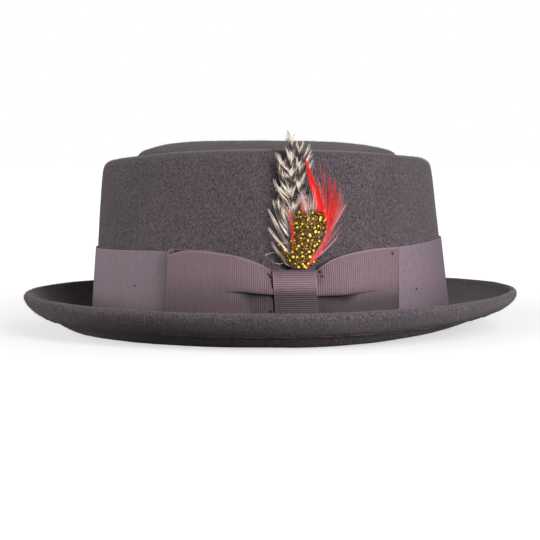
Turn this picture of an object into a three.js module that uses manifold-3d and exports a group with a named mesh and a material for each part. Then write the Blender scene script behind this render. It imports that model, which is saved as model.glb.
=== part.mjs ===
// Porkpie hat of dark brown-grey felt: a telescope crown, a brim turned up all round with its edge
// folded under, a grosgrain band, a flat bow on the left side and a spray of feathers above its knot.
// Millimetres. +Z is up, +X the back of the hat, -Y the side of the bow. The brim rests on z = 0.

import * as THREE from 'three';
import { mergeVertices } from 'three/addons/utils/BufferGeometryUtils.js';
import Module from 'manifold-3d';

const wasm = await Module();
wasm.setup();

// Felt body: the crown, measured on its outside
const feltThickness = 2.6;
const crownFrontLength = 104.8;
const crownBackLength = 106;
const crownHalfBreadth = 87.5;
const frontLean = 3.7;
const backLean = 6.8;
const sideLean = 5.1;
const ridgeFrontHeight = 100;
const ridgeBackHeight = 101.2;
const ridgeSideHeight = 106;
const shoulderRadius = 7.6;
const trenchInset = 17;
const trenchEndDepth = 6;
const trenchSideDepth = 10;
const browInset = 27;
const browDrop = 5;
const telescopeRise = 11;
const peakForward = 12;

// Felt body: the brim
const breakRadius = 5.6;
const brimSideRun = 36.3;
const brimEndRun = 38;
const brimSideRise = 18.8;
const brimFrontRise = 19.9;
const brimBackRise = 22.1;
const brimBackLift = 7;
const brimRestReach = 12;
const weltThickness = 3.2;

// Ribbon band and bow
const clearance = 0.3;
const ribbonThickness = 1;
const bandTopSide = 50.1;
const bandTopFront = 48.4;
const bandTopBack = 54.4;
const bandFootGap = 0.8;
const bandEndFront = 18;
const bandEndBack = 30;
const bowMidHeight = 28.5;
const bowHalfHeight = 22;
const bowCentreX = 13;
const knotHalfWidth = 11;
const pinchHalfHeight = 11.1;
const loopFrontLength = 56;
const loopBackLength = 44;
const loopPuff = 2.6;
const pleatDepth = 1.2;
const knotLegLength = 4;
const knotBulge = 0.35;

// Feathers: a flat spray that leans a little against the crown
const featherThickness = 1.2;
const featherStand = 2.2;
const featherLean = 1.6;
const grizzlyLength = 73.6;
const redLength = 60;
const spottedLength = 30.5;

// How finely the felt and the ribbons are divided
const columns = 60;
const wallRings = 3;
const edgeSteps = 4;
const knotColumns = 4;

const degree = Math.PI / 180;
const columnAngle = (2 * Math.PI) / columns;

// The telescope top, from its centre to its brow: how far out, and how far below the peak
const topRows = [
  { spread: 0.33, drop: 0.04 },
  { spread: 0.57, drop: 0.12 },
  { spread: 0.75, drop: 0.32 },
  { spread: 0.89, drop: 0.6 },
  { spread: 1, drop: 1 },
];

// The inner side of the trench, from the brow down to its bottom
const riserRows = [
  { inward: 0.6, rise: 0.88 },
  { inward: 0.32, rise: 0.62 },
  { inward: 0.14, rise: 0.2 },
  { inward: 0, rise: 0 },
];

// The outer side of the trench, from its bottom up to the crest of the ridge
const ridgeRows = [
  { inward: 0.85, drop: 0.87 },
  { inward: 0.62, drop: 0.45 },
  { inward: 0.32, drop: 0.1 },
  { inward: 0, drop: 0 },
];

// The underside of the brim, from the flat ring that rests to the edge; welt is the folded layer
const brimRows = [
  { out: 0.245, up: 0, welt: 0 },
  { out: 0.358, up: 0.05, welt: 0 },
  { out: 0.496, up: 0.178, welt: 0 },
  { out: 0.634, up: 0.35, welt: 0 },
  { out: 0.744, up: 0.515, welt: 0.62 },
  { out: 0.848, up: 0.66, welt: 0.9 },
  { out: 0.934, up: 0.82, welt: 1 },
  { out: 1, up: 1, welt: 1 },
];

// The two loops of the bow: upper and lower edge above and below the middle of the ribbon
const loopRows = [
  { along: 0, frontTop: 0.5, backTop: 0.5, foot: 0.5 },
  { along: 0.05, frontTop: 0.6, backTop: 0.62, foot: 0.6 },
  { along: 0.17, frontTop: 0.73, backTop: 0.78, foot: 0.74 },
  { along: 0.35, frontTop: 0.89, backTop: 0.91, foot: 0.88 },
  { along: 0.66, frontTop: 0.99, backTop: 1.02, foot: 0.97 },
  { along: 0.84, frontTop: 0.97, backTop: 1.04, foot: 0.99 },
  { along: 1, frontTop: 0.87, backTop: 1.04, foot: 0.98 },
];

// The way of a loop's ribbon: out along the band, round the fold and back over itself to the knot
const loopPath = [
  { along: 0.12, puff: 0, pleat: 0 },
  { along: 0.3, puff: 0, pleat: 0 },
  { along: 0.48, puff: 0, pleat: 0 },
  { along: 0.65, puff: 0, pleat: 0 },
  { along: 0.81, puff: 0, pleat: 0 },
  { along: 0.955, puff: 0, pleat: 0 },
  { along: 0.992, puff: 0.16, pleat: 0 },
  { along: 1, puff: 0.5, pleat: 0 },
  { along: 0.985, puff: 0.84, pleat: 0 },
  { along: 0.93, puff: 1, pleat: 0 },
  { along: 0.75, puff: 1.15, pleat: 0 },
  { along: 0.5, puff: 1.05, pleat: 0.25 },
  { along: 0.3, puff: 0.8, pleat: 0.8 },
  { along: 0.14, puff: 0.42, pleat: 1 },
  { along: 0.04, puff: 0.06, pleat: 1 },
];

// Across the ribbon of a loop, from its lower to its upper edge; the pleat lifts the upper half
const acrossRows = [
  { height: -1, pleat: 0 },
  { height: -0.5, pleat: 0 },
  { height: -0.04, pleat: 0 },
  { height: 0.04, pleat: 1 },
  { height: 0.5, pleat: 0.9 },
  { height: 1, pleat: 0.45 },
];

// Locks of the plumes, as shares of the plume's length: where each leaves the quill, and its tip
const grizzlyLocks = [
  { from: 0.6, up: 1, across: -0.061, width: 0.07 },
  { from: 0.6, up: 0.93, across: 0.04, width: 0.07 },
  { from: 0.55, up: 0.87, across: -0.14, width: 0.06 },
  { from: 0.55, up: 0.88, across: 0.125, width: 0.06 },
  { from: 0.5, up: 0.76, across: -0.12, width: 0.06 },
  { from: 0.45, up: 0.81, across: 0.13, width: 0.06 },
  { from: 0.42, up: 0.65, across: -0.135, width: 0.06 },
  { from: 0.36, up: 0.68, across: 0.12, width: 0.05 },
  { from: 0.3, up: 0.52, across: -0.155, width: 0.05 },
  { from: 0.22, up: 0.447, across: -0.195, width: 0.05 },
  { from: 0.14, up: 0.36, across: -0.15, width: 0.05 },
  { from: 0.08, up: 0.285, across: -0.185, width: 0.05 },
  { from: 0.03, up: 0.11, across: -0.19, width: 0.04 },
];

const redLocks = [
  { from: 0.5, up: 1, across: 0.08, width: 0.06 },
  { from: 0.5, up: 0.94, across: 0.17, width: 0.05 },
  { from: 0.45, up: 0.93, across: 0.24, width: 0.05 },
  { from: 0.4, up: 0.87, across: 0.33, width: 0.06 },
  { from: 0.34, up: 0.8, across: 0.42, width: 0.05 },
  { from: 0.28, up: 0.62, across: 0.47, width: 0.05 },
  { from: 0.2, up: 0.5, across: 0.38, width: 0.06 },
  { from: 0.12, up: 0.36, across: 0.34, width: 0.05 },
  { from: 0.05, up: 0.2, across: 0.24, width: 0.05 },
  { from: 0.3, up: 0.62, across: -0.07, width: 0.05 },
  { from: 0.2, up: 0.44, across: -0.08, width: 0.05 },
];

const spottedLocks = [
  { from: 0.55, up: 0.96, across: -0.07, width: 0.16 },
  { from: 0.55, up: 1, across: 0.2, width: 0.16 },
  { from: 0.45, up: 0.93, across: 0.42, width: 0.15 },
  { from: 0.35, up: 0.78, across: 0.56, width: 0.14 },
  { from: 0.3, up: 0.6, across: 0.57, width: 0.13 },
  { from: 0.2, up: 0.44, across: 0.49, width: 0.12 },
  { from: 0.4, up: 0.83, across: -0.2, width: 0.13 },
  { from: 0.25, up: 0.6, across: -0.22, width: 0.13 },
  { from: 0.1, up: 0.38, across: -0.42, width: 0.12 },
  { from: 0.04, up: 0.22, across: -0.3, width: 0.12 },
  { from: 0.04, up: 0.24, across: 0.42, width: 0.1 },
];

// The closed backing under each plume's locks: half widths up the quill, and the quill's own bend
const grizzlyBacking = [
  { up: 0, half: 0.03, bend: 0 },
  { up: 0.2, half: 0.07, bend: -0.02 },
  { up: 0.45, half: 0.1, bend: -0.035 },
  { up: 0.7, half: 0.105, bend: -0.03 },
  { up: 0.88, half: 0.06, bend: -0.015 },
];

const redBacking = [
  { up: 0, half: 0.04, bend: 0 },
  { up: 0.2, half: 0.13, bend: 0.09 },
  { up: 0.45, half: 0.17, bend: 0.15 },
  { up: 0.66, half: 0.12, bend: 0.16 },
  { up: 0.8, half: 0.05, bend: 0.14 },
];

const spottedBacking = [
  { up: 0, half: 0.16, bend: 0.05 },
  { up: 0.25, half: 0.27, bend: 0.1 },
  { up: 0.55, half: 0.33, bend: 0.16 },
  { up: 0.8, half: 0.29, bend: 0.17 },
  { up: 0.93, half: 0.18, bend: 0.16 },
];

// A value read from a table's column by straight lines between its rows
function readTable(rows, key, value, column) {
  let i = 1;
  while (i < rows.length - 1 && value > rows[i][key]) {
    i += 1;
  }
  const low = rows[i - 1];
  const high = rows[i];
  const share = THREE.MathUtils.clamp((value - low[key]) / (high[key] - low[key]), 0, 1);
  return THREE.MathUtils.lerp(low[column], high[column], share);
}

// Crown wall: a leaning oval. Returns the point at an angle and a height, and the outward normal
function wallAt(angle, height) {
  const up = height - breakRadius;
  const front = crownFrontLength - up * Math.tan(frontLean * degree);
  const back = crownBackLength - up * Math.tan(backLean * degree);
  const halfBreadth = crownHalfBreadth - up * Math.tan(sideLean * degree);
  const halfLength = (front + back) / 2;
  const c = Math.cos(angle);
  const s = Math.sin(angle);
  const endLean = c > 0 ? backLean : frontLean;
  const lean = sideLean + (endLean - sideLean) * c * c;
  const flat = new THREE.Vector3(halfBreadth * c, halfLength * s, 0).normalize();
  const normal = new THREE.Vector3(flat.x, flat.y, Math.tan(lean * degree)).normalize();
  const point = new THREE.Vector3((back - front) / 2 + halfLength * c, halfBreadth * s, height);
  return { point, flat, normal, shift: (back - front) / 2, halfLength };
}

// A point that stands off the wall on the bow's side, given by its x and height
function onBowSide(x, height, stand) {
  const { shift, halfLength } = wallAt(-Math.PI / 2, height);
  const angle = -Math.acos((x - shift) / halfLength);
  const { point, normal } = wallAt(angle, height);
  return point.addScaledVector(normal, stand);
}

// Height that differs between the side and the two ends, and changes mostly near the ends
function roundHeight(angle, side, front, back) {
  const c = Math.cos(angle);
  return side + ((c > 0 ? back : front) - side) * Math.abs(c) ** 3;
}

// Height that changes evenly from the side to either end
function ovalHeight(angle, side, front, back) {
  const c = Math.cos(angle);
  return side + ((c > 0 ? back : front) - side) * c * c;
}

function ridgeHeight(angle) {
  return ovalHeight(angle, ridgeSideHeight, ridgeFrontHeight, ridgeBackHeight);
}

function trenchHeight(angle) {
  return ridgeHeight(angle) - ovalHeight(angle, trenchSideDepth, trenchEndDepth, trenchEndDepth);
}

// Toward the back the whole break of the brim rises; the rest of it lies flat
function breakLift(angle) {
  const flat = brimRestReach / crownBackLength;
  const c = Math.max(0, Math.cos(angle) - flat) / (1 - flat);
  return brimBackLift * c * c;
}

function footHeight(angle) {
  return breakRadius + breakLift(angle);
}

// One column of the crown's outer skin, from beside the peak out and down to the foot of the wall
function crownColumn(angle) {
  const crest = ridgeHeight(angle);
  const trench = trenchHeight(angle);
  const peak = ridgeFrontHeight + telescopeRise;
  const shoulder = wallAt(angle, crest - shoulderRadius);
  const inset = (distance, height) => shoulder.point.clone()
    .addScaledVector(shoulder.flat, -distance).setZ(height);
  const centre = new THREE.Vector3(-peakForward, 0, peak);
  const brow = inset(browInset, peak);
  const column = topRows.map((row) => centre.clone().lerp(brow, row.spread)
    .setZ(peak - row.drop * browDrop));
  for (const row of riserRows) {
    const distance = trenchInset + row.inward * (browInset - trenchInset);
    column.push(inset(distance, trench + row.rise * (peak - browDrop - trench)));
  }
  for (const row of ridgeRows) {
    const distance = shoulderRadius + row.inward * (trenchInset - shoulderRadius);
    column.push(inset(distance, crest - row.drop * (crest - trench)));
  }
  for (const turn of [60, 30, 0]) {
    const distance = shoulderRadius * (1 - Math.cos(turn * degree));
    column.push(inset(distance, crest - shoulderRadius * (1 - Math.sin(turn * degree))));
  }
  for (let k = 1; k < wallRings; k += 1) {
    const height = THREE.MathUtils.lerp(crest - shoulderRadius, footHeight(angle), k / wallRings);
    column.push(wallAt(angle, height).point);
  }
  return column;
}

// The brim's section at an angle, as points out from the wall and up from the surface it rests on.
// It runs from the foot of the outer wall out along the top, round the edge and back underneath.
function brimSection(angle) {
  const lift = breakLift(angle);
  const rise = ovalHeight(angle, brimSideRise, brimFrontRise, brimBackRise) - lift;
  const run = ovalHeight(angle, brimSideRun, brimEndRun, brimEndRun);
  const layer = [];
  for (const turn of [180, 210, 240, 270]) {
    const out = breakRadius * (1 + Math.cos(turn * degree)) - feltThickness;
    const up = lift + breakRadius * (1 + Math.sin(turn * degree));
    layer.push({ at: new THREE.Vector2(out, up), welt: 0 });
  }
  for (const row of brimRows) {
    layer.push({ at: new THREE.Vector2(row.out * run, lift + row.up * rise), welt: row.welt });
  }
  const last = layer.length - 1;
  layer.forEach((entry, i) => {
    const ahead = layer[Math.min(i + 1, last)].at;
    const behind = layer[Math.max(i - 1, 0)].at;
    entry.along = i === 0 ? new THREE.Vector2(0, -1) : ahead.clone().sub(behind).normalize();
    entry.up = new THREE.Vector2(-entry.along.y, entry.along.x);
  });
  const upper = layer.map((entry) => entry.at.clone().addScaledVector(entry.up, feltThickness));
  const edge = [];
  for (let k = 1; k < edgeSteps; k += 1) {
    const turn = (k / edgeSteps) * Math.PI;
    const reach = THREE.MathUtils.lerp(feltThickness, weltThickness, k / edgeSteps);
    edge.push(layer[last].at.clone()
      .addScaledVector(layer[last].up, reach * Math.cos(turn))
      .addScaledVector(layer[last].along, reach * Math.sin(turn)));
  }
  const lower = [];
  for (let i = last; i >= 0; i -= 1) {
    const { at, up, welt } = layer[i];
    if (welt > 0) {
      lower.push(at.clone().addScaledVector(up, -weltThickness * welt));
    }
    if (welt === 0 || layer[i - 1].welt === 0) {
      lower.push(at.clone());
    }
  }
  return [...upper, ...edge, ...lower];
}

function brimColumn(angle) {
  const foot = wallAt(angle, footHeight(angle));
  return brimSection(angle)
    .map(({ x, y }) => foot.point.clone().addScaledVector(foot.flat, x).setZ(y));
}

// A closed geometry from points and triangles; turned right side out if it came out inside out
function closedGeometry(points, triangles) {
  let volume = 0;
  for (const [a, b, c] of triangles) {
    volume += points[a].dot(points[b].clone().cross(points[c]));
  }
  const geometry = new THREE.BufferGeometry();
  const numbers = points.flatMap((point) => point.toArray());
  geometry.setAttribute('position', new THREE.Float32BufferAttribute(numbers, 3));
  geometry.setIndex(triangles.flatMap(([a, b, c]) => (volume > 0 ? [a, b, c] : [a, c, b])));
  geometry.computeVertexNormals();
  return geometry;
}

// A shell of revolution-like rings, closed at its two ends by a point each
function ringShell(firstPoint, rings, lastPoint) {
  const points = [firstPoint, ...rings.flat(), lastPoint];
  const triangles = [];
  const at = (i, j) => 1 + i * columns + (j % columns);
  for (let j = 0; j < columns; j += 1) {
    triangles.push([0, at(0, j), at(0, j + 1)]);
    triangles.push([points.length - 1, at(rings.length - 1, j + 1), at(rings.length - 1, j)]);
    for (let i = 0; i < rings.length - 1; i += 1) {
      triangles.push([at(i, j), at(i + 1, j), at(i + 1, j + 1)]);
      triangles.push([at(i, j), at(i + 1, j + 1), at(i, j + 1)]);
    }
  }
  return closedGeometry(points, triangles);
}

// Felt body: crown and brim as one shell of felt, hollow and open below
function feltBody() {
  const angles = Array.from({ length: columns }, (_, j) => j * columnAngle);
  const crown = angles.map(crownColumn);
  const brim = angles.map(brimColumn);
  const crownCount = crown[0].length;
  const outer = angles.map((_, j) => [...crown[j], brim[j][0]]);
  const inner = angles.map((_, j) => {
    const before = outer[(j + columns - 1) % columns];
    const after = outer[(j + 1) % columns];
    return crown[j].map((point, i) => {
      const down = outer[j][i + 1].clone().sub(i > 0 ? outer[j][i - 1] : point);
      const round = after[i].clone().sub(before[i]);
      return point.clone().addScaledVector(down.cross(round).normalize(), -feltThickness);
    });
  });
  const peak = new THREE.Vector3(-peakForward, 0, ridgeFrontHeight + telescopeRise);
  const rings = [];
  for (let i = 0; i < crownCount; i += 1) {
    rings.push(crown.map((column) => column[i]));
  }
  for (let i = 0; i < brim[0].length; i += 1) {
    rings.push(brim.map((column) => column[i]));
  }
  for (let i = crownCount - 1; i >= 0; i -= 1) {
    rings.push(inner.map((column) => column[i]));
  }
  return ringShell(peak, rings, peak.clone().setZ(peak.z - feltThickness));
}

// A sheet of even thickness about a grid of points, closed round its four edges
function ribbonSheet(grid, thickness) {
  const rows = grid.length;
  const across = grid[0].length;
  const skins = [[], []];
  for (let i = 0; i < rows; i += 1) {
    for (let j = 0; j < across; j += 1) {
      const along = grid[Math.min(i + 1, rows - 1)][j].clone().sub(grid[Math.max(i - 1, 0)][j]);
      const over = grid[i][Math.min(j + 1, across - 1)].clone().sub(grid[i][Math.max(j - 1, 0)]);
      const normal = along.cross(over).normalize();
      skins[0].push(grid[i][j].clone().addScaledVector(normal, thickness / 2));
      skins[1].push(grid[i][j].clone().addScaledVector(normal, -thickness / 2));
    }
  }
  const triangles = [];
  const quad = (a, b, c, d) => triangles.push([a, b, c], [a, c, d]);
  const front = (i, j) => i * across + j;
  const back = (i, j) => rows * across + i * across + j;
  for (let i = 0; i < rows - 1; i += 1) {
    for (let j = 0; j < across - 1; j += 1) {
      quad(front(i, j), front(i + 1, j), front(i + 1, j + 1), front(i, j + 1));
      quad(back(i, j), back(i, j + 1), back(i + 1, j + 1), back(i + 1, j));
    }
    quad(front(i, 0), back(i, 0), back(i + 1, 0), front(i + 1, 0));
    quad(front(i, across - 1), front(i + 1, across - 1), back(i + 1, across - 1), back(i, across - 1));
  }
  for (let j = 0; j < across - 1; j += 1) {
    quad(front(0, j), front(0, j + 1), back(0, j + 1), back(0, j));
    quad(front(rows - 1, j), back(rows - 1, j), back(rows - 1, j + 1), front(rows - 1, j + 1));
  }
  return closedGeometry([...skins[0], ...skins[1]], triangles);
}

// Ribbon band: a strip round the crown, on the same columns as the felt behind it, with its two
// ends under the loops of the bow
function ribbonBand() {
  const first = Math.round((bandEndBack * degree - Math.PI / 2) / columnAngle);
  const final = Math.round((1.5 * Math.PI - bandEndFront * degree) / columnAngle);
  const grid = [];
  for (let j = first; j <= final; j += 1) {
    const angle = j * columnAngle;
    const foot = footHeight(angle) + bandFootGap;
    const top = roundHeight(angle, bandTopSide, bandTopFront, bandTopBack);
    grid.push([foot, (foot + top) / 2, top].map((height) => {
      const { point, normal } = wallAt(angle, height);
      return point.addScaledVector(normal, clearance + ribbonThickness / 2);
    }));
  }
  return ribbonSheet(grid, ribbonThickness);
}

// Stand-off of the ribbon layers from the wall, to the middle of each layer
const knotLegStand = clearance + ribbonThickness / 2;
const loopBackStand = knotLegStand + ribbonThickness + clearance;
const loopFrontStand = loopBackStand + ribbonThickness + clearance;
const knotFrontStand = loopFrontStand + pleatDepth + ribbonThickness + clearance;

// Past the first of these shares of the puff a loop's ribbon has turned from its back layer to its
// front layer; the second is how much less it puffs at its edges; the third is how much of the
// knot's half width the ribbon reaches in under the knot
const foldedPuff = 0.84;
const edgeFlattening = 0.25;
const reachUnderKnot = 0.25;

// One loop of the bow: side is -1 for the loop toward the front of the hat and 1 for the other
function bowLoop(side, length, topColumn) {
  const knotEdge = bowCentreX + side * knotHalfWidth;
  const hidden = (-reachUnderKnot * knotHalfWidth) / length;
  const mouth = clearance / length;
  const path = [
    { along: hidden, puff: 0, pleat: 0, stand: loopBackStand },
    { along: mouth, puff: 0, pleat: 0, stand: loopBackStand },
    ...loopPath.map((row) => {
      const fold = THREE.MathUtils.clamp(row.puff / foldedPuff, 0, 1);
      const stand = row.along > 0.9 || row.puff === 0
        ? THREE.MathUtils.lerp(loopBackStand, loopFrontStand, fold)
        : loopFrontStand;
      return { ...row, stand };
    }),
    { along: mouth, puff: 0, pleat: 1, stand: loopFrontStand },
    { along: hidden, puff: 0, pleat: 0.9, stand: loopFrontStand },
  ];
  const grid = path.map((row) => {
    const x = knotEdge + side * row.along * length;
    const half = (key) => readTable(loopRows, 'along', row.along, key) * bowHalfHeight;
    const pinched = row.along <= mouth;
    const top = pinched ? pinchHalfHeight : half(topColumn);
    const foot = pinched ? pinchHalfHeight : half('foot');
    return acrossRows.map((cross) => {
      const height = bowMidHeight + cross.height * (cross.height > 0 ? top : foot);
      const lift = row.pleat * cross.pleat * pleatDepth;
      const bow = row.puff * loopPuff * (1 - edgeFlattening * cross.height ** 2);
      return onBowSide(x, height, row.stand + bow + lift);
    });
  });
  return ribbonSheet(grid, ribbonThickness);
}

// The knot: a short ribbon that goes over the pinched loops and ends behind them at both edges
function bowKnot() {
  const reach = pinchHalfHeight + clearance + ribbonThickness / 2;
  const corner = ribbonThickness / 2;
  const way = [
    { height: reach - knotLegLength, stand: knotLegStand },
    { height: reach - corner, stand: knotLegStand },
    { height: reach, stand: knotLegStand + corner },
    { height: reach, stand: knotFrontStand - corner },
    { height: reach - corner, stand: knotFrontStand },
    { height: reach / 2, stand: knotFrontStand + knotBulge * 0.7 },
  ];
  const lower = way.map((row) => ({ height: -row.height, stand: row.stand })).reverse();
  const section = [...way, { height: 0, stand: knotFrontStand + knotBulge }, ...lower];
  const grid = section.map((row) => {
    const line = [];
    for (let k = 0; k <= knotColumns; k += 1) {
      const x = bowCentreX + knotHalfWidth * ((2 * k) / knotColumns - 1);
      line.push(onBowSide(x, bowMidHeight + row.height, row.stand));
    }
    return line;
  });
  return ribbonSheet(grid, ribbonThickness);
}

// manifold solids from three.js geometries and back
function toSolid(geometry) {
  const bare = geometry.clone();
  bare.deleteAttribute('normal');
  bare.deleteAttribute('uv');
  const merged = mergeVertices(bare, 1e-4);
  const triVerts = new Uint32Array(merged.index.array);
  const vertProperties = new Float32Array(merged.attributes.position.array);
  return new wasm.Manifold(new wasm.Mesh({ numProp: 3, vertProperties, triVerts }));
}

function toGeometry(solid) {
  const mesh = solid.getMesh();
  const geometry = new THREE.BufferGeometry();
  geometry.setAttribute('position', new THREE.BufferAttribute(new Float32Array(mesh.vertProperties), 3));
  geometry.setIndex(new THREE.BufferAttribute(new Uint32Array(mesh.triVerts), 1));
  geometry.computeVertexNormals();
  return geometry;
}

function plate(outline, thickness) {
  const shape = new THREE.Shape(outline);
  const geometry = new THREE.ExtrudeGeometry(shape, { depth: thickness, bevelEnabled: false });
  return geometry.translate(0, 0, -thickness / 2);
}

// A lock's outline: how far along its middle lies, how far it bows out there, and its half widths
// at the middle and at the tip as shares of the half width at its root
const lockForm = { middle: 0.55, bow: 0.12, middleHalf: 0.8, tipHalf: 0.14 };

// The locks are by turns thicker and thinner, as shares of the backing's thickness
const lockThickness = [0.8, 0.6];

function lockOutline(start, tip, half) {
  const bow = new THREE.Vector2(lockForm.bow * (tip.x - start.x), 0);
  const middle = start.clone().lerp(tip, lockForm.middle).add(bow);
  const normal = tip.clone().sub(start).normalize().rotateAround(new THREE.Vector2(), Math.PI / 2);
  const stations = [[start, half], [middle, half * lockForm.middleHalf], [tip, half * lockForm.tipHalf]];
  const right = stations.map(([point, reach]) => point.clone().addScaledVector(normal, -reach));
  const left = stations.map(([point, reach]) => point.clone().addScaledVector(normal, reach));
  return [...right, ...left.reverse()];
}

// A plume laid flat: x across, y up, z toward the viewer. The locks are tapered strips that leave
// the quill and curve to their tips, and all are joined to one backing
function plume(length, backing, locks) {
  const quill = (up) => new THREE.Vector2(readTable(backing, 'up', up, 'bend'), up);
  const right = backing.map((row) => new THREE.Vector2(row.bend + row.half, row.up));
  const left = backing.map((row) => new THREE.Vector2(row.bend - row.half, row.up)).reverse();
  const ground = [...right, ...left].map((point) => point.multiplyScalar(length));
  let solid = toSolid(plate(ground, featherThickness));
  locks.forEach((lock, k) => {
    const tip = new THREE.Vector2(lock.across, lock.up);
    const outline = lockOutline(quill(lock.from), tip, lock.width / 2);
    const strip = outline.map((point) => point.multiplyScalar(length));
    const thickness = featherThickness * lockThickness[k % lockThickness.length];
    solid = solid.add(toSolid(plate(strip, thickness)));
  });
  return toGeometry(solid);
}

// The plumes stand in planes side by side above the knot, each one in front of the last
const knotTop = bowMidHeight + pinchHalfHeight + clearance + ribbonThickness;
function placeFeather(mesh, layer) {
  const root = onBowSide(bowCentreX, knotTop, 0);
  const { shift, halfLength } = wallAt(-Math.PI / 2, knotTop);
  const { flat } = wallAt(-Math.acos((bowCentreX - shift) / halfLength), knotTop);
  const stand = featherStand + layer * (featherThickness + clearance);
  const seat = onBowSide(bowCentreX, knotTop, stand + featherThickness / 2).z;
  mesh.position.copy(root).addScaledVector(flat, stand).setZ(seat + clearance);
  mesh.rotation.set(Math.PI / 2 - featherLean * degree, 0, Math.atan2(flat.x, -flat.y), 'ZXY');
  return mesh;
}

function material(color, roughness) {
  return new THREE.MeshStandardMaterial({ color, roughness, metalness: 0 });
}

function piece(name, geometry, look) {
  const mesh = new THREE.Mesh(geometry, look);
  mesh.name = name;
  return mesh;
}

const feltLook = material(0x544d4d, 0.95);
const bandLook = material(0x766870, 0.8);
const bowLook = material(0x7d6a70, 0.8);
const grizzlyLook = material(0xb8ab9a, 0.8);
const redLook = material(0xd8232a, 0.8);
const spottedLook = material(0x8a7a24, 0.8);

const grizzly = plume(grizzlyLength, grizzlyBacking, grizzlyLocks);
const red = plume(redLength, redBacking, redLocks);
const spotted = plume(spottedLength, spottedBacking, spottedLocks);

const hat = new THREE.Group();
hat.add(piece('felt_body', feltBody(), feltLook));
hat.add(piece('ribbon_band', ribbonBand(), bandLook));
hat.add(piece('bow_loop_front', bowLoop(-1, loopFrontLength, 'frontTop'), bowLook));
hat.add(piece('bow_loop_back', bowLoop(1, loopBackLength, 'backTop'), bowLook));
hat.add(piece('bow_knot', bowKnot(), bowLook));
hat.add(placeFeather(piece('feather_grizzly', grizzly, grizzlyLook), 0));
hat.add(placeFeather(piece('feather_red', red, redLook), 1));
hat.add(placeFeather(piece('feather_spotted', spotted, spottedLook), 2));

export default hat;
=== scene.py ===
# %% [markdown]
# # A felt porkpie hat
# The hat is dressed here over its CAD model, which gives every size and place. The felt shell
# keeps the model's form and gets a smooth surface, a nap and loose fibres. The ribbons, the
# stitches and the feathers are modelled anew in the same place.
# %% Load the frame
import math

import bpy
import numpy as np
from mathutils import Matrix, Vector


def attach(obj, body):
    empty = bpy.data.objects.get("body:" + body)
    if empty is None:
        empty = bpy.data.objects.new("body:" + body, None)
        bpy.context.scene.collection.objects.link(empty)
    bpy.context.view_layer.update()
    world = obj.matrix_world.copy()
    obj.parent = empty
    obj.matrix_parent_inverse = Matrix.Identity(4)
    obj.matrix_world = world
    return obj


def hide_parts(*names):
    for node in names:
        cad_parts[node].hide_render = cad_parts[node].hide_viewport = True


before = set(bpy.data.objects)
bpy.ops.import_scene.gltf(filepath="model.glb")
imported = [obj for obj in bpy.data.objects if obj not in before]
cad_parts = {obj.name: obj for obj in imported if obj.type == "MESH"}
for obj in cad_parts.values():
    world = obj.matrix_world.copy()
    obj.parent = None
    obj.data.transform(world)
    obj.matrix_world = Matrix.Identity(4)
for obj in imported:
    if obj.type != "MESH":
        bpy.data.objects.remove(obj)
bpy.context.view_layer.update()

MM = 0.001

# %% [markdown]
# ## Camera
# The hat is seen from its left side, a little from above, at less than a metre. A long lens
# at that distance gives the slight spread of the brim toward the viewer. The Standard view keeps
# the dyed red and yellow of the feathers as strong as they are.
# %% Set up the camera
camera_data = bpy.data.cameras.new("side_camera")
camera_data.sensor_width = 36
camera_data.lens = 95.4
CAMERA_AWAY, CAMERA_HEIGHT, CAMERA_DOWN = 0.850, 0.0995, 4.39
camera = bpy.data.objects.new("side_camera", camera_data)
camera.location = (0, -CAMERA_AWAY, CAMERA_HEIGHT)
camera.rotation_euler = (math.radians(90 - CAMERA_DOWN), 0, 0)
bpy.context.scene.collection.objects.link(camera)
bpy.context.scene.camera = camera
bpy.context.scene.view_settings.view_transform = "Standard"
print("camera at", tuple(round(v, 3) for v in camera.location))


# %% [markdown]
# ## Helpers for working by hand in code
# An operator acts on everything that is selected, so each piece starts from an empty selection.
# A finished piece keeps its object at the origin, rides on the hat, and takes the place of the
# CAD solid that it dresses.
# %% Selecting, applying and finishing
SMOOTH_UNDER = math.radians(50)  # edges sharper than this stay sharp


def deselect_all():
    if bpy.context.object and bpy.context.object.mode != "OBJECT":
        bpy.ops.object.mode_set(mode="OBJECT")
    bpy.ops.object.select_all(action="DESELECT")


def pick(thing):
    deselect_all()
    thing.select_set(True)
    bpy.context.view_layer.objects.active = thing


def copy_of(source, name):
    """A free copy, without the source's parent and labels."""
    pick(source)
    bpy.ops.object.duplicate()
    copied = bpy.context.object
    copied.name = name
    for key in list(copied.keys()):
        del copied[key]
    copied.parent = None
    return copied


def turn_normals_out(thing):
    pick(thing)
    bpy.ops.object.mode_set(mode="EDIT")
    bpy.ops.mesh.select_all(action="SELECT")
    bpy.ops.mesh.normals_make_consistent(inside=False)
    bpy.ops.object.mode_set(mode="OBJECT")


def keep_above_floor(thing):
    for vertex in thing.data.vertices:
        vertex.co.z = max(vertex.co.z, 0.0)


def write_values(mesh, name, values, domain="POINT"):
    mesh.attributes.new(name, "FLOAT", domain).data.foreach_set("value", values)


def apply_modifier(thing, kind, **settings):
    pick(thing)
    modifier = thing.modifiers.new(kind.lower(), kind)
    for key, value in settings.items():
        setattr(modifier, key, value)
    bpy.ops.object.modifier_apply(modifier=modifier.name)


def finish_piece(thing, material, nodes=()):
    thing.data.materials.clear()
    thing.data.materials.append(material)
    pick(thing)
    bpy.ops.object.transform_apply(location=True, rotation=True, scale=True)
    bpy.ops.object.shade_smooth_by_angle(angle=SMOOTH_UNDER)
    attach(thing, "root")
    if nodes:
        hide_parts(*nodes)
    triangles = sum(len(face.vertices) - 2 for face in thing.data.polygons)
    print(thing.name, "-", triangles, "triangles")


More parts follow.
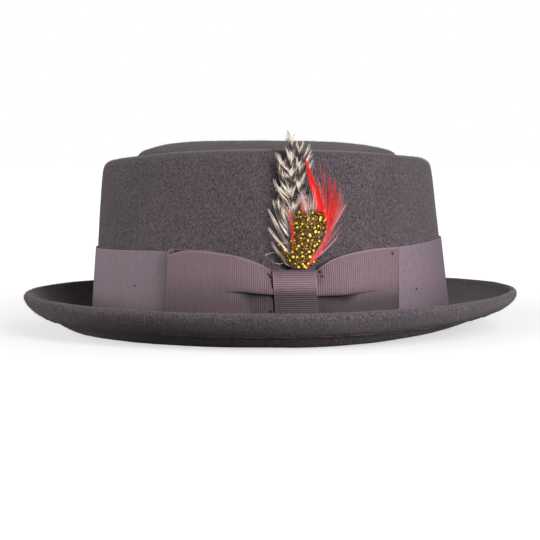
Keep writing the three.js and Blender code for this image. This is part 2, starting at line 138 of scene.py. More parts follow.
# %% [markdown]
# ## The crown as a formula
# Everything that lies on the hat is placed from its wall: an oval that leans inward as it goes
# up. The same few sizes as in the CAD source give a point on the wall and the way out from it.
# %% Points on the crown's wall
FRONT_LENGTH, BACK_LENGTH, HALF_BREADTH = 104.8, 106.0, 87.5
FRONT_LEAN, BACK_LEAN, SIDE_LEAN = (math.radians(v) for v in (3.7, 6.8, 5.1))
BREAK_RADIUS, BACK_LIFT, REST_REACH = 5.6, 7.0, 12.0


def oval_at(height):
    """The oval's half length, half breadth and shift to the back at a height."""
    up = height - BREAK_RADIUS
    front = FRONT_LENGTH - up * math.tan(FRONT_LEAN)
    back = BACK_LENGTH - up * math.tan(BACK_LEAN)
    return (front + back) / 2, HALF_BREADTH - up * math.tan(SIDE_LEAN), (back - front) / 2


def wall_at(angle, height):
    """The point on the wall, the level way out from it, and the way straight off it."""
    half_length, half_breadth, shift = oval_at(height)
    c, s = math.cos(angle), math.sin(angle)
    lean = SIDE_LEAN + ((BACK_LEAN if c > 0 else FRONT_LEAN) - SIDE_LEAN) * c * c
    flat = Vector((half_breadth * c, half_length * s, 0)).normalized()
    normal = Vector((flat.x, flat.y, math.tan(lean))).normalized()
    return Vector((shift + half_length * c, half_breadth * s, height)), flat, normal


def on_bow_side(x, height, stand):
    """The point that stands off the wall by stand, on the side with the bow."""
    half_length, _, shift = oval_at(height)
    point, _, normal = wall_at(-math.acos((x - shift) / half_length), height)
    return point + normal * stand


def break_lift(angle):
    """How far the brim's break rises toward the back."""
    flat = REST_REACH / BACK_LENGTH
    c = max(0, math.cos(angle) - flat) / (1 - flat)
    return BACK_LIFT * c * c


print("wall at the bow:", tuple(round(v, 1) for v in on_bow_side(13, 28.5, 0)))

# %% [markdown]
# ## A small kit for shader nodes
# A material is a net of nodes. These helpers add a node, set its values and link it, so that
# each material below reads from the pattern to the shader.


# %% Node helpers
def add_node(tree, kind, links=None, **settings):
    node = tree.nodes.new(kind)
    for key, value in settings.items():
        setattr(node, key, value)
    for socket, value in (links or {}).items():
        target = node.inputs[socket]
        if isinstance(value, bpy.types.NodeSocket):
            tree.links.new(value, target)
        else:
            target.default_value = value
    return node


def maths(tree, operation, *values):
    return add_node(tree, "ShaderNodeMath", dict(enumerate(values)), operation=operation).outputs[0]


def object_place(tree):
    return add_node(tree, "ShaderNodeTexCoord").outputs["Object"]


def flat_place(tree):
    return add_node(tree, "ShaderNodeUVMap").outputs["UV"]


def mesh_value(tree, name):
    return add_node(tree, "ShaderNodeAttribute", attribute_name=name).outputs["Fac"]


def noise(tree, vector, scale, detail=2.0, roughness=0.5, output="Fac"):
    return add_node(tree, "ShaderNodeTexNoise", {"Vector": vector, "Scale": scale, "Detail": detail,
                                                 "Roughness": roughness}).outputs[output]


def add_bump(tree, shader, height, strength, distance):
    bump = add_node(tree, "ShaderNodeBump", {"Height": height, "Strength": strength, "Distance": distance})
    tree.links.new(bump.outputs["Normal"], shader.inputs["Normal"])


def tinted(colour, factor):
    return [v * factor for v in colour]


def ramp(tree, value, stops):
    node = add_node(tree, "ShaderNodeValToRGB", {"Fac": value})
    band = node.color_ramp
    while len(band.elements) < len(stops):
        band.elements.new(0.5)
    for element, (place, colour) in zip(band.elements, stops):
        element.position = place
        element.color = (*colour, 1)
    return node.outputs["Color"]


def blend(tree, share, first, second, mode="MIX"):
    node = tree.nodes.new("ShaderNodeMix")
    node.data_type = "RGBA"
    node.blend_type = mode
    for socket, value in ((0, share), (6, first), (7, second)):
        if isinstance(value, bpy.types.NodeSocket):
            tree.links.new(value, node.inputs[socket])
        else:
            node.inputs[socket].default_value = value if socket == 0 else (*value, 1)
    return node.outputs[2]


def new_group(name, inputs, outputs):
    """A group whose sockets are all numbers: inputs with their values, and outputs."""
    group = bpy.data.node_groups.new(name, "ShaderNodeTree")
    for socket, start in inputs.items():
        made = group.interface.new_socket(socket, in_out="INPUT", socket_type="NodeSocketFloat")
        made.default_value = start
    for socket in outputs:
        group.interface.new_socket(socket, in_out="OUTPUT", socket_type="NodeSocketFloat")
    return group, group.nodes.new("NodeGroupInput").outputs


def new_material(name, roughness, sheen=0.0, sheen_roughness=0.5, sheen_tint=(1, 1, 1),
                 specular=0.5):
    material = bpy.data.materials.new(name)
    material.use_nodes = True
    shader = material.node_tree.nodes["Principled BSDF"]
    shader.inputs["Roughness"].default_value = roughness
    shader.inputs["Sheen Weight"].default_value = sheen
    shader.inputs["Sheen Roughness"].default_value = sheen_roughness
    shader.inputs["Sheen Tint"].default_value = (*sheen_tint, 1)
    shader.inputs["Specular IOR Level"].default_value = specular
    return material, material.node_tree, shader


# %% [markdown]
# ## Felt
# Felt is matted wool: no threads, only fine grain, soft cloudy patches and a short nap that
# catches the light at the edges. One group makes the grain and the clouds from Object
# coordinates, so the nap runs without a seam over crown and brim.
# %% Nap group and felt material
nap, nap_in = new_group("felt_nap", {"Grain": 1450.0, "Clouds": 45.0}, ["Fleck", "Cloud", "Height"])
where = object_place(nap)
brushed = add_node(nap, "ShaderNodeMapping", {"Vector": where, "Scale": (1.0, 1.0, 0.55)}).outputs["Vector"]
grain = noise(nap, brushed, nap_in["Grain"], 3.0, 0.62)
cloud = noise(nap, where, nap_in["Clouds"], 4.0, 0.6)
coarse = noise(nap, brushed, 420.0)
height = maths(nap, "ADD", grain, maths(nap, "MULTIPLY", coarse, 0.8))
add_node(nap, "NodeGroupOutput", {"Fleck": grain, "Cloud": cloud, "Height": height})


def felt_material(name, dark, light, relief):
    material, tree, shader = new_material(name, 0.95, 0.12, 0.6, (0.95, 0.88, 0.9), 0.12)
    wool = add_node(tree, "ShaderNodeGroup", node_tree=nap)
    middle = [(a + b) / 2 for a, b in zip(dark, light)]
    base = ramp(tree, wool.outputs["Fleck"], [(0.36, dark), (0.52, middle), (0.66, light)])
    cloudy = ramp(tree, wool.outputs["Cloud"], [(0.3, (0.9, 0.9, 0.93)), (0.7, (1.08, 1.06, 1.05))])
    clouded = blend(tree, 1.0, base, cloudy, "MULTIPLY")
    # painted highlight: the felt is made lighter along the crown's crest
    crest_lit = blend(tree, mesh_value(tree, "painted_crest_highlight"), clouded, tinted(light, 1.4))
    tree.links.new(crest_lit, shader.inputs["Base Color"])
    add_bump(tree, shader, wool.outputs["Height"], relief, 0.0005)
    return material


felt_look = felt_material("brushed_felt", (0.026, 0.021, 0.024), (0.112, 0.091, 0.101), 0.8)
print("felt nap group:", len(nap.nodes), "nodes")

# %% [markdown]
# ## Felt shell
# The CAD shell has the right form but its facets show. A copy of it is merged and its triangles
# become quads, because a subdivision surface rounds quads more evenly.
# %% Copy the felt shell
felt_shell = copy_of(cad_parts["felt_body"], "felt_shell")
bpy.ops.object.mode_set(mode="EDIT")
bpy.ops.mesh.select_all(action="SELECT")
bpy.ops.mesh.remove_doubles(threshold=0.00002)
bpy.ops.mesh.tris_convert_to_quads(face_threshold=math.pi, shape_threshold=math.pi)
bpy.ops.object.mode_set(mode="OBJECT")
quads = sum(len(face.vertices) == 4 for face in felt_shell.data.polygons)
print("felt cage:", len(felt_shell.data.polygons), "faces,", quads, "quads")

# %% [markdown]
# ## Round the felt and keep its cut edge
# Felt stays sharp where it is cut, so the edge of the folded brim is creased before the
# subdivision. A faint cloud displacement then takes away the machine evenness.
# %% Smooth the felt shell
BRIM_RUN = {"side": 36.3, "end": 38.0}
BRIM_RISE = {"side": 18.8, "back": 22.1, "front": 19.9}
FOLD_SHARE, FOLD_DROP, FOLD_POINTS = 0.744, 1.98, 60
FOLD_CATCH = 0.0006  # a vertex this near the fold belongs to it, in metres


def brim_rim(angle, share, drop):
    """A point under the brim: share of the run outward, drop below the felt, in mm."""
    c = math.cos(angle)
    lift = break_lift(angle)
    run = BRIM_RUN["side"] + (BRIM_RUN["end"] - BRIM_RUN["side"]) * c * c
    end_rise = BRIM_RISE["back"] if c > 0 else BRIM_RISE["front"]
    rise = BRIM_RISE["side"] + (end_rise - BRIM_RISE["side"]) * c * c - lift
    up = float(np.interp(share, [0.634, 0.744, 0.848], [0.35, 0.515, 0.66]))
    foot, flat, _ = wall_at(angle, BREAK_RADIUS + lift)
    slope = Vector((0.104 * run, 0.145 * rise)).normalized()
    out, height = share * run + slope.y * drop, lift + up * rise - slope.x * drop
    return Vector((foot.x + flat.x * out, foot.y + flat.y * out, height))


fold = [brim_rim(2 * math.pi * k / FOLD_POINTS, FOLD_SHARE, FOLD_DROP) * MM for k in range(FOLD_POINTS)]
creases = felt_shell.data.attributes.new("crease_edge", "FLOAT", "EDGE")
on_fold = {v.index for v in felt_shell.data.vertices if min((v.co - p).length for p in fold) < FOLD_CATCH}
sharp = [edge.index for edge in felt_shell.data.edges if set(edge.vertices) <= on_fold]
for index in sharp:
    creases.data[index].value = 0.9
print("creased", len(sharp), "edges of the folded brim")
apply_modifier(felt_shell, "SUBSURF", levels=2, render_levels=2)
cloud_texture = bpy.data.textures.new("hand_blocking", "CLOUDS")
cloud_texture.noise_scale = 0.03
apply_modifier(felt_shell, "DISPLACE", texture=cloud_texture, strength=0.0006, mid_level=0.5,
               texture_coords="LOCAL")
keep_above_floor(felt_shell)
print("felt shell:", len(felt_shell.data.polygons), "faces")

# %% [markdown]
# ## Painted highlight on the crest
# The felt is painted lighter where it stands out: a painted highlight along the crest. The points
# outside the trench are sorted into sectors, the highest of each sector gives the crest, and how
# near a point comes to it is kept on the mesh for the material.
# %% Mark the crest of the crown
TRENCH_HALF_LENGTH, TRENCH_HALF_BREADTH = 92, 66
HALF_SECTORS, CREST_LIGHT_DEPTH, CREST_LIGHT = 36, 1.3, 0.9
x, y, z = np.array([vertex.co[:] for vertex in felt_shell.data.vertices]).T / MM
outer_ring = np.hypot(x / TRENCH_HALF_LENGTH, y / TRENCH_HALF_BREADTH) > 1
way_round = np.arctan2(y / TRENCH_HALF_BREADTH, x / TRENCH_HALF_LENGTH) / math.pi
sector = (way_round * HALF_SECTORS).astype(int) + HALF_SECTORS
crest = np.zeros(2 * HALF_SECTORS + 1)
np.maximum.at(crest, sector[outer_ring], z[outer_ring])
crest_highlight = outer_ring * CREST_LIGHT * np.clip(z - crest[sector] + CREST_LIGHT_DEPTH, 0, 1)
write_values(felt_shell.data, "painted_crest_highlight", crest_highlight)
print("crest is", round(float(crest[:-1].min()), 1), "to", round(float(crest[:-1].max()), 1), "mm high")
finish_piece(felt_shell, felt_look, ["felt_body"])

# %% [markdown]
# ## Loose fibres
# Brushed wool felt is never quite clean: short fibres lift from it and blur its outline. One
# fibre is a thin three-sided cone. Geometry Nodes scatter it over the shell, tilt each copy at
# random and make the copies real, and the modifier is applied.
# %% Scatter the fibres
FIBRE_RADIUS, FIBRE_LENGTH, FIBRES_PER_SQUARE_METRE = 0.00007, 0.0013, 190000.0
deselect_all()
bpy.ops.mesh.primitive_cone_add(vertices=3, radius1=FIBRE_RADIUS, radius2=0, depth=FIBRE_LENGTH,
                                end_fill_type="NOTHING", location=(0, 0, 0.0004))
fibre = bpy.context.object
bpy.ops.object.transform_apply(location=True)
fuzz = copy_of(felt_shell, "felt_fibres")

scatter = bpy.data.node_groups.new("scatter_fibres", "GeometryNodeTree")
scatter.interface.new_socket("Geometry", in_out="INPUT", socket_type="NodeSocketGeometry")
scatter.interface.new_socket("Geometry", in_out="OUTPUT", socket_type="NodeSocketGeometry")
shell_in = scatter.nodes.new("NodeGroupInput")
spots = add_node(scatter, "GeometryNodeDistributePointsOnFaces",
                 {"Mesh": shell_in.outputs["Geometry"], "Density": FIBRES_PER_SQUARE_METRE, "Seed": 4})
one_fibre = add_node(scatter, "GeometryNodeObjectInfo", {"Object": fibre})
tilt = add_node(scatter, "FunctionNodeRandomValue", {0: (-1.15, -1.15, -3.1), 1: (1.15, 1.15, 3.1)},
                data_type="FLOAT_VECTOR")
turned = add_node(scatter, "FunctionNodeRotateRotation",
                  {"Rotation": spots.outputs["Rotation"], "Rotate By": tilt.outputs[0]},
                  rotation_space="LOCAL")
size = add_node(scatter, "FunctionNodeRandomValue", {2: 0.45, 3: 1.35})
copies = add_node(scatter, "GeometryNodeInstanceOnPoints",
                  {"Points": spots.outputs["Points"], "Instance": one_fibre.outputs["Geometry"],
                   "Rotation": turned.outputs[0], "Scale": size.outputs[1]})
real = add_node(scatter, "GeometryNodeRealizeInstances", {"Geometry": copies.outputs["Instances"]})
add_node(scatter, "NodeGroupOutput", {"Geometry": real.outputs["Geometry"]})
apply_modifier(fuzz, "NODES", node_group=scatter)
keep_above_floor(fuzz)
bpy.data.objects.remove(fibre)

fibre_look, fibre_tree, fibre_shader = new_material("wool_fibre", 0.7, 0.2, 0.5, specular=0.2)
fibre_tone = ramp(fibre_tree, noise(fibre_tree, object_place(fibre_tree), 600.0),
                  [(0.35, (0.07, 0.058, 0.062)), (0.65, (0.26, 0.22, 0.23))])
fibre_tree.links.new(fibre_tone, fibre_shader.inputs["Base Color"])
finish_piece(fuzz, fibre_look)

# %% [markdown]
# ## Cut edge of the brim
# The brim's edge is folded under and sewn down, and its cut edge shows below as a thin raised
# line all round. It is a circle of points set on the fold, made a curve, given a round section
# and turned into a mesh.
# %% Lay the edge line
EDGE_SHARE, EDGE_DROP, EDGE_RADIUS = 0.742, 1.75, 0.0004
deselect_all()
bpy.ops.mesh.primitive_circle_add(vertices=360, radius=1)
edge_line = bpy.context.object
edge_line.name = "brim_cut_edge"
for vertex in edge_line.data.vertices:
    angle = math.atan2(vertex.co.y, vertex.co.x)
    drop = EDGE_DROP + 0.12 * math.sin(41 * angle) + 0.08 * math.sin(97 * angle + 1)
    vertex.co = brim_rim(angle, EDGE_SHARE, drop) * MM
bpy.ops.object.convert(target="CURVE")
edge_line = bpy.context.object
edge_line.data.bevel_depth = EDGE_RADIUS
edge_line.data.bevel_resolution = 1
bpy.ops.object.convert(target="MESH")
edge_line = bpy.context.object
edge_look = felt_material("cut_felt_edge", (0.045, 0.028, 0.026), (0.13, 0.085, 0.078), 0.6)
finish_piece(edge_line, edge_look)


# %% [markdown]
# ## Ribbons
# A ribbon is a flat strip that is laid on the hat. It starts as a grid, each of its points is
# put in place by how far it is along and across the strip, and it gets its thickness last. The
# UV map keeps the strip's own flat millimetres, so the ribs follow every turn of the cloth. A
# second value, fold_shade, says how much darker a place is painted: below a crease, and low
# behind the brim, where the lamps alone leave too little shadow.
# %% Lay a strip on the hat
def lay_strip(name, stations, across, thickness, shade, rounds=0):
    """stations: for each step along the ribbon a list of points in mm, one for each place across.
    shade: how much painted shade the cloth gets for its places along and across, from 0 to 1."""
    deselect_all()
    last_i, last_j = len(stations) - 1, len(across) - 1
    bpy.ops.mesh.primitive_grid_add(x_subdivisions=last_i, y_subdivisions=last_j, size=1)
    strip = bpy.context.object
    strip.name = name
    middle = [row[len(row) // 2] for row in stations]
    along = np.concatenate([[0], np.cumsum([(b - a).length for a, b in zip(middle, middle[1:])])])
    steps = {}
    for vertex in strip.data.vertices:
        i = round((vertex.co.x + 0.5) * last_i)
        j = round((vertex.co.y + 0.5) * last_j)
        steps[vertex.index] = (i, j)
        vertex.co = stations[i][j] * MM
    flat = strip.data.uv_layers.active.data
    for loop in strip.data.loops:
        i, j = steps[loop.vertex_index]
        flat[loop.index].uv = (along[i], across[j])
    if rounds:
        apply_modifier(strip, "SUBSURF", levels=rounds, render_levels=rounds,
                       boundary_smooth="PRESERVE_CORNERS")
    apply_modifier(strip, "SOLIDIFY", thickness=thickness * MM, offset=0, use_even_offset=True)
    corners = np.zeros(2 * len(strip.data.loops))
    strip.data.uv_layers.active.data.foreach_get("uv", corners)
    dark = np.clip(shade(corners[0::2], corners[1::2], float(along[-1])), 0, 1)
    write_values(strip.data, "fold_shade", dark, "CORNER")
    print(name, "is", round(along[-1]), "mm long, shade up to", round(float(dark.max()), 2))
    return strip, along[-1] * MM


def ease(value, start, end):
    """0 at start, 1 at end, with a soft way between."""
    t = np.clip((value - start) / (end - start), 0, 1)
    return t * t * (3 - 2 * t)


# %% [markdown]
# ## Grosgrain
# Grosgrain has thick cross ribs under fine lengthwise threads, and a plain firm edge. One group
# draws the ribs from the UV map: rounded on top, with a narrow groove between them. The material
# darkens the groove as painted shade and makes the edge lighter as a painted highlight. Band,
# loops and knot share it, each with its own colour.
# %% Rib group and ribbon material
rib, rib_in = new_group("grosgrain_ribs", {"Pitch": 1.4, "Edge": 22.0},
                        ["Height", "Valley", "Selvedge", "Wear"])
flat_uv = flat_place(rib)
parts = add_node(rib, "ShaderNodeSeparateXYZ", {"Vector": flat_uv})
ribs_along = maths(rib, "DIVIDE", parts.outputs["X"], rib_in["Pitch"])
wave = maths(rib, "ABSOLUTE", maths(rib, "SINE", maths(rib, "MULTIPLY", ribs_along, math.pi)))
rounded = maths(rib, "POWER", wave, 0.8)
fine_wave = maths(rib, "SINE", maths(rib, "MULTIPLY", parts.outputs["Y"], 19.0))
threads = maths(rib, "MULTIPLY", fine_wave, 0.06)
edge = maths(rib, "GREATER_THAN", maths(rib, "ABSOLUTE", parts.outputs["Y"]), rib_in["Edge"])
wear = noise(rib, flat_uv, 0.35, 4.0, 0.65)
add_node(rib, "NodeGroupOutput", {"Height": maths(rib, "ADD", rounded, threads),
                                  "Valley": maths(rib, "SUBTRACT", 1.0, rounded),
                                  "Selvedge": edge, "Wear": wear})


def ribbon_material(name, colour, pitch, edge_at, depth=1.0):
    material, tree, shader = new_material(name, 0.6, 0.08, 0.3, (0.9, 0.85, 1.0), 0.28)
    weave = add_node(tree, "ShaderNodeGroup", node_tree=rib)
    weave.inputs["Pitch"].default_value = pitch
    weave.inputs["Edge"].default_value = edge_at
    worn = ramp(tree, weave.outputs["Wear"], [(0.3, tinted(colour, 0.88)), (0.7, tinted(colour, 1.1))])
    # painted shade in the narrow grooves between ribs; depth sets how strong it is
    valley_shade = maths(tree, "MULTIPLY", weave.outputs["Valley"], 0.95 * depth)
    rib_shaded = blend(tree, valley_shade, worn, tinted(colour, 0.12))
    # painted highlight along the ribbon's edge
    selvedge_highlight = maths(tree, "MULTIPLY", weave.outputs["Selvedge"], 0.7)
    edge_lit = blend(tree, selvedge_highlight, rib_shaded, tinted(colour, 1.35))
    shaded = blend(tree, mesh_value(tree, "fold_shade"), edge_lit, tinted(colour, 0.03))
    tree.links.new(shaded, shader.inputs["Base Color"])
    add_bump(tree, shader, weave.outputs["Height"], 0.55, 0.00035)
    return material


band_look = ribbon_material("band_grosgrain", (0.184, 0.134, 0.160), 1.15, 21.6, 0.3)
bow_look = ribbon_material("bow_grosgrain", (0.172, 0.111, 0.127), 1.15, 21.2, 0.7)
# the knot's colour is the loops' ribbon made about a fifth lighter, a painted highlight across the knot
highlit_knot_look = ribbon_material("knot_grosgrain", (0.207, 0.136, 0.154), 1.2, 10.6, 0.9)
print("grosgrain group:", len(rib.nodes), "nodes")

# %% [markdown]
# ## Band
# The band is one ribbon round the crown. Its lower edge follows the foot of the wall, its upper
# edge is a little higher at the back, and its two ends meet under the bow. Its edge ripples
# slightly, as a sewn ribbon's does.
# %% Lay the band
BAND_TOP = {"side": 50.1, "front": 48.4, "back": 54.4}
BAND_START, BAND_END = -60, 252  # in degrees round the crown
BAND_STEPS = 212
BAND_HALF, BAND_STAND, BAND_THICKNESS, BAND_ABOVE_BREAK = 22, 0.8, 0.8, 0.8


def band_top(angle):
    c = math.cos(angle)
    end = BAND_TOP["back"] if c > 0 else BAND_TOP["front"]
    return BAND_TOP["side"] + (end - BAND_TOP["side"]) * abs(c) ** 3


across_band = [-BAND_HALF, -21.4, -16, -8, 0, 8, 16, 21.4, BAND_HALF]
band_stations = []
for k in range(BAND_STEPS + 1):
    angle = math.radians(BAND_START + (BAND_END - BAND_START) * k / BAND_STEPS)
    foot = BREAK_RADIUS + break_lift(angle) + BAND_ABOVE_BREAK
    row = []
    for place in across_band:
        share = (place + BAND_HALF) / (2 * BAND_HALF)
        height = foot + (band_top(angle) - foot) * share
        point, _, normal = wall_at(angle, height)
        ripple = 0.12 * share ** 6 * math.sin(9 * angle) + 0.05 * math.sin(31 * angle + 4 * share)
        row.append(point + normal * (BAND_STAND + ripple))
    band_stations.append(row)
# painted shade on the band, growing toward its lower edge behind the brim
band, band_length = lay_strip("ribbon_round_crown", band_stations, across_band, BAND_THICKNESS,
                              lambda along, across, length: 0.34 * ease(-across, -6, 20))
finish_piece(band, band_look, ["ribbon_band"])

# %% [markdown]
# ## Bow loops
# Each loop is one strip that runs out along the band, folds over and comes back over itself to
# the knot. The upper half overlaps the lower half in a pleat that is deepest beside the knot and
# dies out half-way along. Its lip hangs over a hollow, and fold_shade deepens the shadow there.
# %% Fold the loops
BOW_HEIGHT, BOW_HALF, BOW_X, KNOT_HALF, PINCH_HALF = 28.5, 22.0, 13.0, 11.0, 11.1
LOOP_BACK_STAND, LOOP_FRONT_STAND, PUFF = 2.0, 3.55, 2.6
LOOP_THICKNESS, FULL_PUFF = 0.55, 0.84
FOLD_STATION = 9  # the ribbon turns back at this station of its way

# Half heights along a loop, as shares of the ribbon's half width
loop_rows = {
    "along": [0, 0.05, 0.17, 0.35, 0.66, 0.84, 1],
    "front_top": [0.5, 0.6, 0.73, 0.89, 1, 1, 0.85],
    "back_top": [0.5, 0.62, 0.78, 0.91, 1.02, 1.04, 1.04],
    "foot": [0.5, 0.6, 0.74, 0.88, 0.97, 0.99, 0.98],
}
# The way of the ribbon: along the loop, and how much of the puff
loop_way = [
    (0.12, 0), (0.3, 0), (0.48, 0), (0.65, 0), (0.81, 0), (0.955, 0), (0.992, 0.16), (1, 0.5),
    (0.985, 0.84), (0.93, 1), (0.84, 1.12), (0.75, 1.15), (0.66, 1.13), (0.58, 1.1), (0.5, 1.05),
    (0.42, 0.95), (0.36, 0.88), (0.3, 0.8), (0.24, 0.68), (0.18, 0.52), (0.12, 0.36), (0.04, 0.06),
]
# Across the ribbon in shares of its half width: the pleat pushes each place out and down, in mm
pleat_rows = [
    (-1, -0.6, 0), (-0.8, -0.15, 0), (-0.6, 0.35, 0), (-0.4, 0.6, 0), (-0.25, 0.55, 0.1),
    (-0.13, 0.0, 0.5), (-0.05, -1.5, 1.2), (-0.01, -1.3, 1.1), (0.015, 0.8, -0.9), (0.035, 1.9, -1.1),
    (0.09, 2.3, -0.5), (0.2, 2.2, 0), (0.4, 1.75, 0), (0.65, 1.15, 0), (0.85, 0.6, 0), (1, 0.3, 0),
]


def loop_half(along, key):
    return float(np.interp(along, loop_rows["along"], loop_rows[key])) * BOW_HALF


def fold_loop(name, side, length, top_key, pleat_reach):
    """pleat_reach: how far from the knot the pleat dies out, in mm."""
    knot_edge = BOW_X + side * KNOT_HALF
    hidden, mouth = -0.25 * KNOT_HALF / length, 0.3 / length
    way = [(hidden, 0, 0, LOOP_BACK_STAND), (mouth, 0, 0, LOOP_BACK_STAND)]
    for along, puff in loop_way:
        turned = min(1, puff / FULL_PUFF)
        folding = along > 0.9 or puff == 0
        stand = LOOP_BACK_STAND + (LOOP_FRONT_STAND - LOOP_BACK_STAND) * (turned if folding else 1)
        fading = min(1, max(0, (pleat_reach - along * length) / (0.55 * pleat_reach)))
        way.append((along, puff, fading ** 0.8, stand))
    way += [(mouth, 0, 1, LOOP_FRONT_STAND), (hidden, 0, 0.9, LOOP_FRONT_STAND)]
    stations = []
    for k, (along, puff, pleat, stand) in enumerate(way):
        x = knot_edge + side * along * length
        pinched = along <= mouth
        front = k > FOLD_STATION
        top = PINCH_HALF if pinched else loop_half(along, top_key if front else "back_top")
        if k == FOLD_STATION:
            top = (top + loop_half(along, top_key)) / 2
        foot = PINCH_HALF if pinched else loop_half(along, "foot")
        row = []
        for place, out, down in pleat_rows:
            height = BOW_HEIGHT + place * (top if place > 0 else foot) + down * pleat * front
            drift = -0.5 + 0.08 * max(0, along) * length if side < 0 else -1.3
            height += drift * (1 - abs(place)) * pleat * front
            room = 1 if out > 0 else min(1, 0.6 + puff)
            lift = out * pleat * room * front
            belly = puff * PUFF * (1 - 0.25 * place ** 2)
            row.append(on_bow_side(x, height, stand + belly + lift))
        stations.append(row)
    across = [row[0] * BOW_HALF for row in pleat_rows]

    def loop_shade(along, across, total):
        out = total - along  # from the knot outward, on the front layer
        front = along > total / 2
        # painted shade on the lower half, which turns away from the light, on the back loop more than on the
        # front one
        low = 0.46 * ease(-across, -13, 9) if side < 0 else 0.7 * ease(-across, -7, 8)
        # a broad painted shade and a crisp painted shadow line lie below the pleat
        edge = pleat_reach + 1.5 + 0.25 * np.minimum(across, 0)
        soft, crisp = ease(-out, -edge, -0.6 * edge), ease(-out, -edge, -0.86 * edge)
        below = (across < 0.4) * (0.64 * soft + 0.34 * crisp * np.exp(np.minimum(across + 3.6, 0) / 3))
        # painted shade on the upper half close beside the knot
        pinch = 0.35 * ease(-out, -9, -3) * ease(across, 3, 12)
        # painted shade on the back layer all over, darkest inside its open corner
        at_corner = (along > 0.72 * length) * (along < 1.04 * length) * (across > 15) * (across < 21.3)
        return np.where(front, np.maximum(low, below) + pinch, np.maximum(0.2, 0.97 * at_corner))

    return lay_strip(name, stations, across, LOOP_THICKNESS, loop_shade, rounds=2)


bow_loops = [  # name, side, length, how the top is shaped, how far the pleat goes, CAD piece
    ("bow_loop_toward_front", -1, 56.0, "front_top", 24, "bow_loop_front"),
    ("bow_loop_toward_back", 1, 44.0, "back_top", 30, "bow_loop_back"),
]
for name, side, length, top_key, reach, node in bow_loops:
    loop, loop_length = fold_loop(name, side, length, top_key, reach)
    finish_piece(loop, bow_look, [node])

# %% [markdown]
# ## Knot
# A short piece of the same ribbon wraps the pinched middle. It goes round over the loops, so its
# ribs lie level while those of the loops stand upright.
# %% Wrap the knot
KNOT_LEG, KNOT_SLANT = 0.8, 0.07
knot_back = [(7.9, KNOT_LEG), (11.2, KNOT_LEG), (11.9, 1.3), (11.9, 3.4)]
knot_face = [(11.8, 4.6), (10.8, 5.6), (8.8, 6.3), (6, 6.85), (4, 7.0), (2, 6.7), (0, 6.2), (-3, 5.6),
             (-6, 5.1), (-9, 4.7), (-11.2, 4.4), (-11.9, 4.0)]
knot_section = knot_back + knot_face + [(-height, stand) for height, stand in reversed(knot_back)]
across_knot = [-11, -10.6, -7, -3.5, 0, 3.5, 7, 10.6, 11]
knot_stations = [[on_bow_side(BOW_X + place - KNOT_SLANT * height, BOW_HEIGHT + height, stand)
                  for place in across_knot] for height, stand in knot_section]


def knot_shade(along, across, total):
    height = total / 2 - along  # about the height above the knot's middle
    # painted shade: a little on the knot's top, more on its lower half
    return 0.38 * ease(height, 5.5, 11.5) + 0.7 * ease(-height, -3.2, 2.5)


knot, knot_length = lay_strip("bow_knot_wrap", knot_stations, across_knot, LOOP_THICKNESS, knot_shade,
                              rounds=2)
finish_piece(knot, highlit_knot_look, ["bow_knot"])

# %% [markdown]
# ## Tack stitches
# The bow is held by a few dark tacks: beside the knot, at the far end of the back loop, and one
# on each side of the band. A tack is three small squeezed rings of thread, turned against each
# other so that they cross.
# %% Sew the tacks
tack_places = [  # x and height on the bow's side, stand from the wall, turn in degrees, size
    (0.4, 37.6, 5.2, 20, 1.5), (-1.2, 38.4, 4.6, 80, 1.1), (25.9, 39.6, 4.8, 70, 1.4),
    (26.8, 37.0, 5.2, 100, 1.2), (29.6, 40.6, 4.6, 40, 1.0), (63.6, 48.2, 5.9, 60, 1.5),
    (62.2, 49.6, 5.4, 110, 1.1), (66.2, 20.4, 4.0, 140, 1.3), (64.6, 19.4, 4.0, 60, 1.0),
    (-74.1, 30.1, 1.2, 15, 0.9), (80.9, 27.8, 1.2, 35, 1.1), (-52.0, 18.6, 4.4, 50, 1.3),
    (0.8, 19.0, 4.6, 100, 1.2),
]
TACK_RADIUS, THREAD_RADIUS = 0.85 * MM, 0.36 * MM
squeeze = Matrix.Scale(0.45, 4, (1, 0, 0)) @ Matrix.Scale(0.55, 4, (0, 1, 0))
tacks = []
for x, height, stand, angle, scale in tack_places:
    middle = on_bow_side(x, height, stand)
    outward = (on_bow_side(x, height, 1) - on_bow_side(x, height, 0)).normalized()
    facing = outward.to_track_quat("X", "Z").to_matrix().to_4x4()
    for cross in (0, 40, 85):
        deselect_all()
        bpy.ops.mesh.primitive_torus_add(major_segments=20, minor_segments=8,
                                         major_radius=TACK_RADIUS * scale, minor_radius=THREAD_RADIUS * scale)
        thread = bpy.context.object
        spin = Matrix.Rotation(math.radians(angle + cross), 4, "X")
        thread.data.transform(Matrix.Translation(middle * MM) @ facing @ spin @ squeeze)
        tacks.append(thread)
deselect_all()
for thread in tacks:
    thread.select_set(True)
bpy.context.view_layer.objects.active = tacks[0]
bpy.ops.object.join()
tack_piece = bpy.context.object
tack_piece.name = "tack_stitches"
thread_look, thread_tree, thread_shader = new_material("dark_thread", 0.6, specular=0.3)
twist = ramp(thread_tree, noise(thread_tree, object_place(thread_tree), 2500.0),
             [(0.35, (0.012, 0.008, 0.010)), (0.65, (0.06, 0.045, 0.05))])
thread_tree.links.new(twist, thread_shader.inputs["Base Color"])
finish_piece(tack_piece, thread_look)

